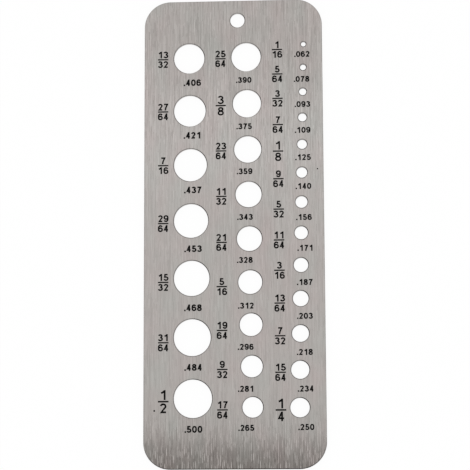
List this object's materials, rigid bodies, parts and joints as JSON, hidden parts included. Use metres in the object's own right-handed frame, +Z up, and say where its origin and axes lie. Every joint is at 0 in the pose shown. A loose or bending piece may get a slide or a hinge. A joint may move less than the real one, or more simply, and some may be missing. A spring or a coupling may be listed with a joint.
{
  "type": "drill size gauge",
  "caption": "Flat brushed-steel gauge plate with round corners and graded through-holes that find the size of a twist drill, with a hang hole at one end.",
  "frame": {"origin": "middle of the plate's back face, where it lies on the bench", "axes": "+X across the plate, +Y along it towards the hang hole, +Z up through the sheet, out of the marked face"},
  "size_m": [0.061, 0.16, 0.0012],
  "materials": {
    "steel": "satin, brushed along the plate's length",
    "marks": "matt black fill of the etched size numbers"
  },
  "bodies": {
    "root": {"gauge_plate": "steel"}
  },
  "joints": []
}
